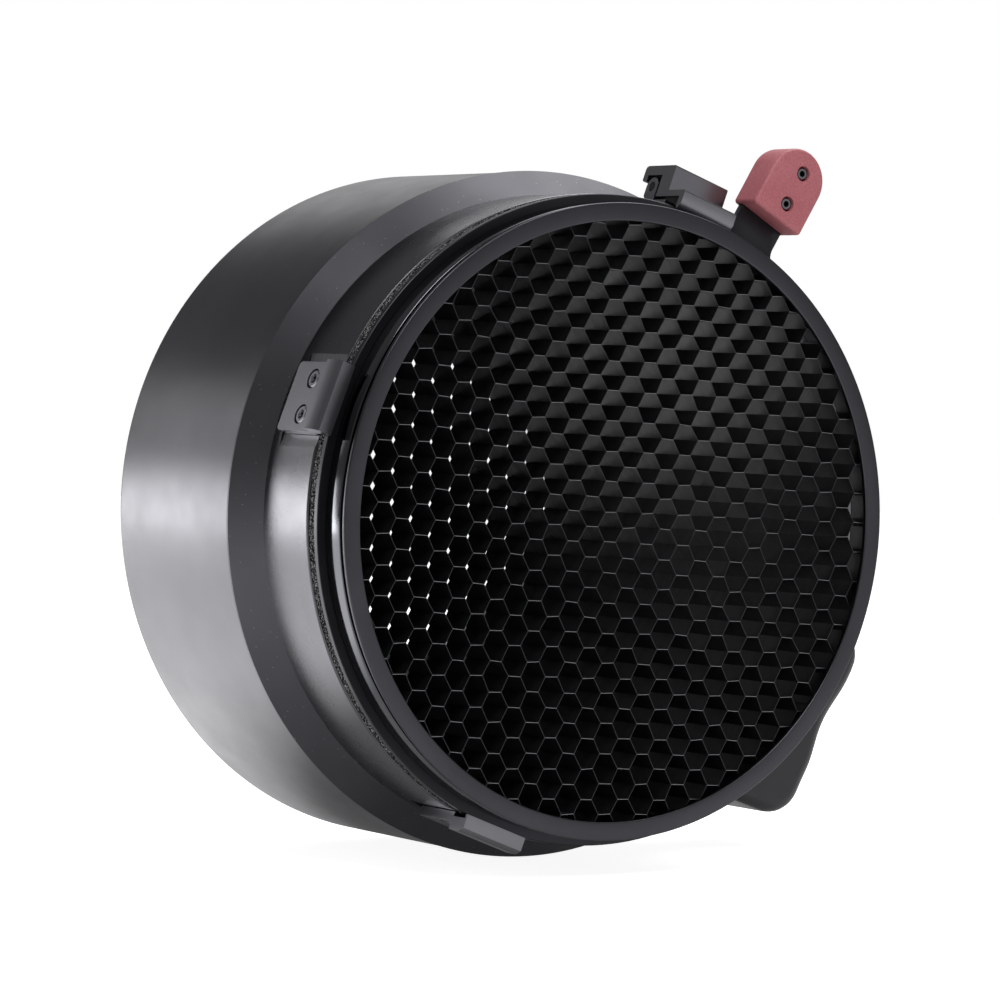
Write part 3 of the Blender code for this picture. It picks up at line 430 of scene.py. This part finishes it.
def makeCollar():
    c = collar
    r, bore = collarRadius, collarRadius - c["wall"]
    front = collarLow.y
    foot = drum["radius"] + c["step"]
    base = drumLow.y - c["gap"]
    spigot = drum["radius"] - drum["wall"] - c["gap"]
    profile = [(bore, front + c["lip"]), (bore + c["lip"], front)]
    profile += arc((r - c["edge"], front + c["edge"]), c["edge"], -90, 0, 5)
    profile += [(r, shoulderY - 0.3 * mm), (r + 0.25 * mm, shoulderY)]
    profile += [(foot - 0.25 * mm, base - 0.85 * mm), (foot, base - 0.55 * mm), (foot, base),
                (spigot, base), (spigot, collarHigh.y), (spigot - c["spigot"], collarHigh.y),
                (spigot - c["spigot"], base), (bore, shoulderY)]
    ring = spun("frontCollar", profile)
    # the milled flats under the two ears and the latch
    tall, past = 6 * mm, 1 * mm
    centre = (0, front + c["flatRear"] / 2 - past, r - c["flat"] + tall / 2)
    size = (2 * c["flatHalf"], c["flatRear"] + 2 * past, tall)
    for angle in (angleOf("ear_left"), angleOf("ear_bottom"), 90.0):
        cut(ring, block("flatTool", centre, size, aboutAxis(angle)))
    finishPiece(ring, "holder", finishes["collar"], ["front_collar"], 5)
    ring.data.materials.append(finishes["shoulder"])
    for face in ring.data.polygons:
        reach = math.hypot(face.center.x, face.center.z)
        if face.center.y > shoulderY - 0.25 * mm and reach > r + 0.1 * mm:
            face.material_index = 1
    for face in ring.data.polygons:
        face.use_smooth = True


makeCollar()
print("collar made")


felt = {"width": 3.6 * mm, "rows": 5, "edge": 0.15 * mm, "fuzz": 0.22 * mm}


def makeFelt():
    inner, outer = feltHigh.x - felt["width"], feltHigh.x
    low, high = feltLow.y, feltHigh.y
    rows = felt["rows"]
    side = [(outer - felt["edge"] * (i in (0, rows)), low + (high - low) * i / rows)
            for i in range(rows + 1)]
    strip = spun("feltSeal", [(inner, high), (inner, low)] + side, 3 * steps)
    edit(strip)
    bpy.ops.transform.vertex_random(offset=felt["fuzz"], uniform=0.6, normal=0.6, seed=4)
    bpy.ops.object.mode_set(mode="OBJECT")
    finishPiece(strip, "holder", finishes["felt"], ["felt_seal"], 60)


makeFelt()
print("felt made")

plateRadius = -plateLow.x
ringBore = ringHigh.x - 3.1 * mm
armAngle = angleOf("red_grip")
arm = {"width": 17.0 * mm, "fillet": 5.0 * mm, "length": 28.8 * mm, "corner": 4.0 * mm, "root": 4.0 * mm,
       "edge": 0.2 * mm}


def makeCarrier():
    front, rear = plateLow.y, plateHigh.y
    edge = arm["edge"]
    rim = spun("carrierRim", [(ringBore, rear), (ringBore, front), (plateRadius - edge, front),
                              (plateRadius, front + edge), (plateRadius, rear - edge),
                              (plateRadius - edge, rear)])
    # the arm: hollow fillets at its foot, rounded corners at its end
    half, fillet = arm["width"] / 2, arm["fillet"]
    centre = half + fillet
    foot = math.sqrt((plateRadius + fillet) ** 2 - centre ** 2)
    lean = math.degrees(math.atan2(centre, foot))
    right = arc((centre, foot), fillet, 180, 270 - lean, 10)
    right.append((right[-1][0] - 0.5 * mm, plateRadius - arm["root"]))
    top = plateRadius + arm["length"]
    corner = arm["corner"]
    outline = right[::-1] + arc((half - corner, top - corner), corner, 0, 90, 6)
    outline += arc((-half + corner, top - corner), corner, 90, 180, 6) + [(-x, z) for x, z in right]
    bar = prism("carrierArm", outline, front + 0.01 * mm, rear - 0.01 * mm, aboutAxis(armAngle))
    bevel(bar, edge, 2, 60)
    carrier = joinAll("gridCarrier", [rim, bar])
    finishPiece(carrier, "grid_frame", finishes["plate"], ["grid_carrier"])


makeCarrier()


bezelSizes = {"face": 1.4 * mm, "width": 5.5 * mm, "groove": 1.1 * mm, "gap": 0.3 * mm, "edge": 0.45 * mm}


def makeRingAndBezel():
    b = bezelSizes
    edge = b["edge"]
    outer = ringHigh.x
    low, high = ringLow.y, ringHigh.y
    front = arc((outer - edge, low + edge), edge, -90, 0, 5)
    ring = spun("gridRing", [(ringBore, high), (ringBore, low)] + front + [(outer, high)])
    finishPiece(ring, "grid_frame", finishes["ring"], ["grid_ring"])
    # the faces of the ring's inner bore take the near-black finish: painted shade inside the recess
    ring.data.materials.append(finishes["bore"])
    for face in ring.data.polygons:
        reach = math.hypot(face.center.x, face.center.z)
        face.material_index = 1 if reach < ringBore + 0.1 * mm else 0

    # the bezel's face overhangs its spigot, which leaves the groove in front of the ring
    outer, inner = bezelHigh.x, bezelHigh.x - b["width"]
    front, back = bezelLow.y, bezelLow.y + b["face"]
    spigotOuter, spigotInner = ringHigh.x - b["groove"], ringBore + b["gap"]
    profile = arc((inner + edge, front + edge), edge, 180, 270, 4)
    profile += arc((outer - edge, front + edge), edge, -90, 0, 4)
    profile += arc((outer - edge, back - edge), edge, 0, 90, 4)
    profile += [(spigotOuter, back), (spigotOuter, bezelHigh.y), (spigotInner, bezelHigh.y),
                (spigotInner, back), (inner, back)]
    bezel = spun("frontBezel", profile)
    finishPiece(bezel, "grid_frame", finishes["bezel"], ["front_bezel"])


makeRingAndBezel()
print("grid frame made")

cells = {"height": 9.07 * mm, "flat": 4.07 * mm, "run": 2.48 * mm, "wall": 0.15 * mm, "turn": 20.0,
         "jitter": 0.22 * mm, "skew": 0.038, "shift": (-2.7 * mm, -1.6 * mm), "back": 0.5 * mm,
         "deeper": 2.6 * mm, "room": 0.2 * mm}


def makeHoneycomb():
    # one hexagon, repeated as a sheet, each inset to leave its walls, and the walls drawn to their depth
    c = cells
    outer = coreHigh.x
    front, rear = coreLow.y + c["back"], coreHigh.y + c["deeper"]
    deselectAll()
    bpy.ops.mesh.primitive_circle_add(vertices=6, radius=1.0, fill_type="NGON", location=(0, 0, 0),
                                      rotation=(math.radians(90), 0, 0))
    sheet = settle(bpy.context.active_object)
    x, z = c["flat"] / 2, c["height"] / 2
    corners = [(x, z), (x + c["run"], 0), (x, -z), (-x, -z), (-x - c["run"], 0), (-x, z)]
    points = sorted(sheet.data.vertices, key=lambda v: -math.atan2(v.co.z, v.co.x))
    wanted = sorted(corners, key=lambda p: -math.atan2(p[1], p[0]))
    for vertex, (x, z) in zip(points, wanted):
        vertex.co = (x, 0, z - c["skew"] * x)
    column, row = c["flat"] + c["run"], c["height"]
    drop = c["skew"] * column
    rows = int(2 * outer / row) + 5                    # a few more than the ring needs, cut away below
    pairsOfColumns = (int(2 * outer / column) + 8) // 2 + 1
    applyModifier(sheet, "ARRAY", count=rows, use_relative_offset=False, use_constant_offset=True,
                  constant_offset_displace=(0, 0, row))
    edit(sheet)
    bpy.ops.mesh.duplicate_move(TRANSFORM_OT_translate={"value": (column, 0, row / 2 - drop)})
    bpy.ops.object.mode_set(mode="OBJECT")
    applyModifier(sheet, "ARRAY", count=pairsOfColumns, use_relative_offset=False, use_constant_offset=True,
                  constant_offset_displace=(2 * column, 0, -2 * drop))
    edit(sheet)
    before = pairsOfColumns // 2
    shift = (c["shift"][0] - before * 2 * column, front, c["shift"][1] + before * 2 * drop - rows // 2 * row)
    bpy.ops.transform.translate(value=shift)
    bpy.ops.mesh.remove_doubles(threshold=weld["sheet"])
    bpy.ops.transform.vertex_random(offset=c["jitter"], uniform=1.0, normal=0.0, seed=11)
    bpy.ops.transform.resize(value=(1, 0, 1), center_override=(0, front, 0))
    bpy.ops.object.mode_set(mode="OBJECT")
    # cells whose middle lies outside the ring go
    far = outer + 0.7 * row
    edit(sheet, "DESELECT")
    bpy.ops.mesh.select_mode(type="FACE")
    bpy.ops.object.mode_set(mode="OBJECT")
    for face in sheet.data.polygons:
        face.select = math.hypot(face.center.x, face.center.z) > far
    bpy.ops.object.mode_set(mode="EDIT")
    bpy.ops.mesh.delete(type="FACE")
    bpy.ops.mesh.select_all(action="SELECT")
    bpy.ops.mesh.inset(thickness=c["wall"] / 2, use_individual=True, use_even_offset=True)
    bpy.ops.mesh.delete(type="FACE")
    bpy.ops.mesh.select_all(action="SELECT")
    bpy.ops.mesh.extrude_region_move(TRANSFORM_OT_translate={"value": (0, rear - front, 0)})
    bpy.ops.object.mode_set(mode="OBJECT")
    closeUp(sheet, weld["copied"])
    tool = rod("coreTool", outer - c["room"], (0, front - 5 * mm, 0), (0, rear + 5 * mm, 0), 192)
    cut(sheet, tool, "INTERSECT")
    sheet.matrix_world = Matrix.Rotation(-math.radians(c["turn"]), 4, "Y")
    settle(sheet)
    sheet.name = "honeycombCore"
    finishPiece(sheet, "grid_frame", finishes["foil"], ["honeycomb_core"])
    sheet.data.materials.append(finishes["foilEdge"])
    sheet.data.materials.append(finishes["foilThinEdge"])
    # the glued double walls show a brighter cut edge than the single ones
    across = Vector((math.cos(math.radians(c["turn"])), 0, math.sin(math.radians(c["turn"]))))
    for face in sheet.data.polygons:
        face.use_smooth = False
        if abs(face.normal.y) < 0.9 or face.center.y > front + 1 * mm:
            continue
        ends = [sheet.data.vertices[i].co for i in face.vertices]
        longest = max(((a - b) for a in ends for b in ends), key=lambda v: v.length).normalized()
        face.material_index = 1 if abs(longest.dot(across)) > 0.9 else 2


makeHoneycomb()
print("honeycomb made")


fittings = {"ear_left": ("earLeft", "holder", 0.22 * mm), "ear_bottom": ("earBottom", "holder", 0.22 * mm),
            "latch_bracket": ("latchBracket", "holder", 0.22 * mm),
            "latch_body": ("latchBody", "latch", 0.25 * mm)}     # name, body it rides on, rounding


def makeFittings():
    for node, (name, body, rounding) in fittings.items():
        piece = copyNode(node, name)
        bevel(piece, rounding, 3, 40)
        finishPiece(piece, body, finishes["fitting"], [node], 60, True)


makeFittings()
print("fittings made")

socketScrew = {"head": 2.75 * mm, "tall": 1.5 * mm, "shank": 1.5 * mm, "socket": 1.3 * mm, "deep": 0.9 * mm,
               "chamfer": 0.35 * mm}
gripScrew = {"head": 1.8 * mm, "tall": 1.7 * mm, "shank": 1.25 * mm, "socket": 0.85 * mm, "deep": 1.0 * mm,
             "chamfer": 0.25 * mm}


def makeScrew(node, name, sizes, outward, body):
    # its head is on the side that outward points to; the node gives its place and its length
    s = sizes
    low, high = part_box(node)
    middle = (low + high) / 2
    outward = Vector(outward).normalized()
    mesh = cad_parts[node].data
    top = max((v.co - middle).dot(outward) for v in mesh.vertices)
    bottom = min((v.co - middle).dot(outward) for v in mesh.vertices)
    centre = sum((v.co for v in mesh.vertices), Vector()) / len(mesh.vertices)
    head = centre - outward * (centre - middle).dot(outward) + outward * top
    profile = [(0, -s["deep"]), (s["socket"] * 0.9, -s["deep"]), (s["socket"] * 1.13, 0.0),
               (s["head"] - s["chamfer"], 0.0), (s["head"], -s["chamfer"]), (s["head"], -s["tall"]),
               (s["shank"], -s["tall"]), (s["shank"], bottom - top), (0, bottom - top)]
    screw = drawLine(name, [(r, 0.0, z) for r, z in profile])
    edit(screw)
    bpy.ops.mesh.spin(steps=36, angle=2 * math.pi, center=(0, 0, 0), axis=(0, 0, 1))
    closeUp(screw, weld["drawn"])
    deselectAll()
    bpy.ops.mesh.primitive_cylinder_add(vertices=6, radius=s["socket"], depth=2 * s["deep"],
                                        location=(0, 0, 0))
    cut(screw, settle(bpy.context.active_object))
    turn = outward.to_track_quat("Z", "Y").to_matrix().to_4x4()
    screw.matrix_world = Matrix.Translation(head) @ turn
    settle(screw)
    finishPiece(screw, body, finishes["screw"], [node])
    # faces inside the hex socket take the near-black finish: painted shade in the recess
    screw.data.materials.append(finishes["socket"])
    for face in screw.data.polygons:
        fromHead = face.center - head
        depth = -fromHead.dot(outward)
        out = (fromHead + outward * depth).length
        if out < 0.98 * s["socket"] and 0.25 * s["deep"] < depth < 1.2 * s["deep"]:
            face.material_index = 1


def radial(node):
    angle = math.radians(angleOf(node))
    return (math.cos(angle), 0, math.sin(angle))


def makeScrews():
    for ear, name in (("ear_left", "earLeft"), ("ear_bottom", "earBottom")):
        for number in (1, 2):
            makeScrew(f"{ear}_screw_{number}", f"{name}Screw{number}", socketScrew, radial(ear), "holder")
    for number in (1, 2):
        makeScrew(f"latch_screw_{number}", f"latchScrew{number}", socketScrew, (0, 0, 1), "holder")
        makeScrew(f"side_grip_screw_{number}", f"sideGripScrew{number}", socketScrew, (-1, 0, 0), "holder")
    for number in (1, 2, 3, 4):
        makeScrew(f"mount_screw_{number}", f"mountScrew{number}", socketScrew, (0, 1, 0), "holder")
    for node, name in (("grip_screw_inner", "gripScrewInner"), ("grip_screw_outer", "gripScrewOuter")):
        makeScrew(node, name, gripScrew, (0, -1, 0), "grid_frame")


makeScrews()
print("screws made")

redGrip = {"width": 19.8 * mm, "inner": 9.8 * mm, "length": 23.8 * mm, "edge": 1.1 * mm, "recess": 2.35 * mm,
           "room": 0.3 * mm}


def makeRedGrip():
    g = redGrip
    low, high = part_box("red_grip")
    half = g["width"] / 2
    bottom = plateRadius + g["inner"]
    top = bottom + g["length"]
    outline = [(-half, bottom), (half, bottom)] + arc((0, top - half), half, 0, 180, 40)
    grip = prism("redGrip", outline, low.y, high.y, aboutAxis(armAngle))
    bevel(grip, g["edge"], 4, 60)
    # the arm's slot, with the arm's rounded corners and some room all round
    half = arm["width"] / 2 + g["room"]
    end, corner = plateRadius + arm["length"] + g["room"], arm["corner"]
    outline = [(-half, bottom - 3 * mm), (half, bottom - 3 * mm)]
    outline += arc((half - corner, end - corner), corner, 0, 90, 8)
    outline += arc((corner - half, end - corner), corner, 90, 180, 8)
    cut(grip, prism("slotTool", outline, plateLow.y - g["room"], plateHigh.y + g["room"],
                    aboutAxis(armAngle)))
    for node in ("grip_screw_inner", "grip_screw_outer"):
        a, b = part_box(node)
        x, z = (a.x + b.x) / 2, (a.z + b.z) / 2
        cut(grip, rod("recessTool", g["recess"], (x, low.y - 3 * mm, z), (x, a.y + 2.0 * mm, z)))
    finishPiece(grip, "grid_frame", finishes["red"], ["red_grip"], 50, True)


makeRedGrip()
print("red grip made")

sideGrip = {"proud": 33.6 * mm, "lean": 9.6 * mm, "waist": 2.0 * mm, "top": 8.0 * mm, "bottom": -58.0 * mm,
            "hollow": (0.23, 0.50), "ends": 11.0 * mm, "edge": 4.0 * mm, "sunk": 0.2 * mm}


def makeSideGrip():
    g = sideGrip
    low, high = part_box("side_grip")
    tall = g["top"] - g["bottom"]

    def crest(z):
        # how far out the grip's back stands at this height, with its soft hollow
        share = (g["top"] - z) / tall
        out = drum["radius"] + g["proud"] - g["lean"] * share
        along = (share - g["hollow"][0]) / g["hollow"][1]
        if 0 < along < 1:
            out -= g["waist"] / 2 * (1 - math.cos(2 * math.pi * along))
        return out

    ends = g["ends"]
    count = 24
    seat = drum["radius"] - g["sunk"]
    outline = [(math.sqrt(seat ** 2 - z * z), z) for z in [g["top"] - tall * i / 10 for i in range(11)]]
    outline += arc((crest(g["bottom"] + ends) - ends, g["bottom"] + ends), ends, -90, -8, 8)
    outline += [(crest(z), z) for z in
                [g["bottom"] + ends + (tall - 2 * ends) * i / count for i in range(1, count)]]
    outline += arc((crest(g["top"] - ends) - ends, g["top"] - ends), ends, 8, 90, 8)
    grip = prism("sideGrip", outline, low.y, high.y)
    bevel(grip, g["edge"], 6, 50)
    finishPiece(grip, "holder", finishes["grip"], ["side_grip"], 50, True)


makeSideGrip()
print("side grip made")

bayonet = {"bore": 48.0 * mm, "sleeve": 51.5 * mm, "flange": 71.0 * mm, "thick": 2.2 * mm, "front": 7.5 * mm,
           "rear": 8.5 * mm, "lug": 59.5 * mm, "lugThick": 3.0 * mm, "lugSpan": 40.0, "lugBack": 0.5 * mm,
           "head": 3.15 * mm, "headDeep": 1.9 * mm, "edge": 0.4 * mm}


def makeBayonet():
    b = bayonet
    edge = b["edge"]
    profile = [(b["bore"], -b["front"]), (b["sleeve"], -b["front"]), (b["sleeve"], -b["thick"]),
               (b["flange"] - edge, -b["thick"]), (b["flange"], -b["thick"] + edge), (b["flange"], -edge),
               (b["flange"] - edge, 0.0), (b["sleeve"], 0.0), (b["sleeve"], b["rear"] - edge),
               (b["sleeve"] - edge, b["rear"]), (b["bore"] + edge, b["rear"]), (b["bore"], b["rear"] - edge)]
    ring = spun("bayonetRing", profile)
    for number in range(4):
        low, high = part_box(f"mount_screw_{number + 1}")
        x, z = (low.x + high.x) / 2, (low.z + high.z) / 2
        cut(ring, rod("headTool", b["head"], (x, -b["headDeep"], z), (x, 3 * mm, z)))
    pieces = [ring]
    top = b["rear"] - b["lugBack"]
    for number in range(3):
        start, end = 90 + 120 * number - b["lugSpan"] / 2, 90 + 120 * number + b["lugSpan"] / 2
        outline = arc((0, 0), b["lug"], start, end, 16) + arc((0, 0), b["sleeve"] - 1 * mm, end, start, 12)
        lug = prism("lug", outline, top - b["lugThick"], top)
        bevel(lug, 0.35 * mm, 2, 50)
        pieces.append(lug)
    whole = joinAll("bayonetRing", pieces)
    finishPiece(whole, "holder", finishes["mount"], ["bayonet_ring"])


makeBayonet()
print("bayonet made")

# these keep their CAD shape and get a finish
for node, finish in (("backing_ring", "mount"), ("latch_pin", "pin"), ("latch_spring", "pin")):
    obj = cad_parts[node]
    obj.data.materials.clear()
    obj.data.materials.append(finishes[finish])


stage = {"floorDrop": 107.0 * mm, "roll": 20.0, "near": 0.15, "far": 1.7, "paper": 0.9, "room": 0.17}


def paperFinish():
    # white paper sweep with a painted glow that stands in for light from behind the snoot: brightest at the
    # rear left, it mirrors in the metal
    made, tree, shader, place = startFinish("palePaper", Roughness=0.8)
    shader.inputs["Base Color"].default_value = linear("#f2f2f2")
    shader.inputs["Emission Color"].default_value = (1, 1, 1, 1)
    along = addNode(tree, "ShaderNodeVectorMath", {"operation": "DOT_PRODUCT"},
                    {0: place, 1: (-0.5, 0.87, 0.0)})
    # painted glow: emission rises towards the rear left; camera rays see the even paper value instead
    paintedGlow = ramp(tree, along.outputs["Value"], 0.0, 0.09, stage["near"], stage["far"])
    path = addNode(tree, "ShaderNodeLightPath")
    seen = addNode(tree, "ShaderNodeMix", {"data_type": "FLOAT"})
    tree.links.new(path.outputs["Is Camera Ray"], seen.inputs[0])
    tree.links.new(paintedGlow, seen.inputs[2])
    seen.inputs[3].default_value = stage["paper"]
    tree.links.new(seen.outputs[0], shader.inputs["Emission Strength"])
    return made


def makeStage():
    # the snoot lies on its drum, so the floor is square to the way it has rolled
    roll = Matrix.Rotation(math.radians(-stage["roll"]), 4, "Y")
    deselectAll()
    bpy.ops.mesh.primitive_circle_add(vertices=96, radius=3.0, fill_type="NGON",
                                      location=(0, 0, -stage["floorDrop"]))
    floor = bpy.context.active_object
    floor.name = "floor"
    settle(floor)
    floor.matrix_world = roll
    settle(floor)
    floor.data.materials.append(paperFinish())

    world = bpy.context.scene.world or bpy.data.worlds.new("studio")
    bpy.context.scene.world = world
    world.use_nodes = True
    tree = world.node_tree
    tree.nodes.clear()
    path = addNode(tree, "ShaderNodeLightPath")
    room = addNode(tree, "ShaderNodeBackground", {},
                   {"Color": (1.0, 1.0, 1.02, 1), "Strength": stage["room"]})
    paper = addNode(tree, "ShaderNodeBackground", {}, {"Color": (1, 1, 1, 1), "Strength": 1.0})
    mixed = addNode(tree, "ShaderNodeMixShader", {}, {0: path.outputs["Is Camera Ray"]})
    tree.links.new(room.outputs[0], mixed.inputs[1])
    tree.links.new(paper.outputs[0], mixed.inputs[2])
    out = addNode(tree, "ShaderNodeOutputWorld")
    tree.links.new(mixed.outputs[0], out.inputs["Surface"])
    return roll


def softBox(name, roll, direction, distance, size, power):
    # a rectangular soft box that looks at the snoot, placed by its direction in the rolled frame
    where = roll @ (Vector(direction).normalized() * distance)
    deselectAll()
    bpy.ops.object.light_add(type="AREA", location=where)
    light = bpy.context.active_object
    light.name = name
    light.data.shape = "RECTANGLE"
    light.data.size, light.data.size_y = size
    light.data.energy = power
    light.rotation_euler = (-where).to_track_quat("-Z", "Y").to_euler()


lights = {           # direction, distance and size in metres, power in watts
    "leftRearBox": ((-0.50, 0.84, -0.05), 1.3, (0.55, 0.30), 3.6),
    "leftRearFill": ((-0.47, 0.84, 0.25), 1.4, (0.40, 0.25), 0.5),
    "rearBox": ((0.36, 0.84, 0.40), 1.4, (0.50, 0.40), 0.5),
    "overheadBox": ((0.45, 0.10, 0.87), 1.3, (1.1, 1.1), 13.0),
    "frontKey": ((-0.30, -0.62, 0.80), 1.5, (0.6, 0.6), 8.5),
    "rightFrontBox": ((0.50, -0.82, 0.10), 1.6, (0.7, 0.7), 0.6),
}


# the camera's own right, up and backward directions, its place in metres, and its lens
view = {"across": (0.79343, -0.52274, 0.31178), "up": (-0.34173, 0.04130, 0.93889),
        "back": (-0.50367, -0.85149, -0.14587), "place": (-0.7089, -1.2532, -0.2014), "lens": 162.0,
        "sensor": 36.0, "near": 0.05, "far": 20.0}


def makeCamera():
    place = Matrix((view["across"], view["up"], view["back"])).transposed().to_4x4()
    place.translation = Vector(view["place"])
    deselectAll()
    bpy.ops.object.camera_add()
    camera = bpy.context.active_object
    camera.matrix_world = place
    camera.data.lens = view["lens"]
    camera.data.sensor_width = view["sensor"]
    camera.data.clip_start, camera.data.clip_end = view["near"], view["far"]
    bpy.context.scene.camera = camera


rolled = makeStage()
for name, (direction, distance, size, power) in lights.items():
    softBox(name, rolled, direction, distance, size, power)
makeCamera()
bpy.context.scene.view_settings.view_transform = "Standard"
print("stage made")
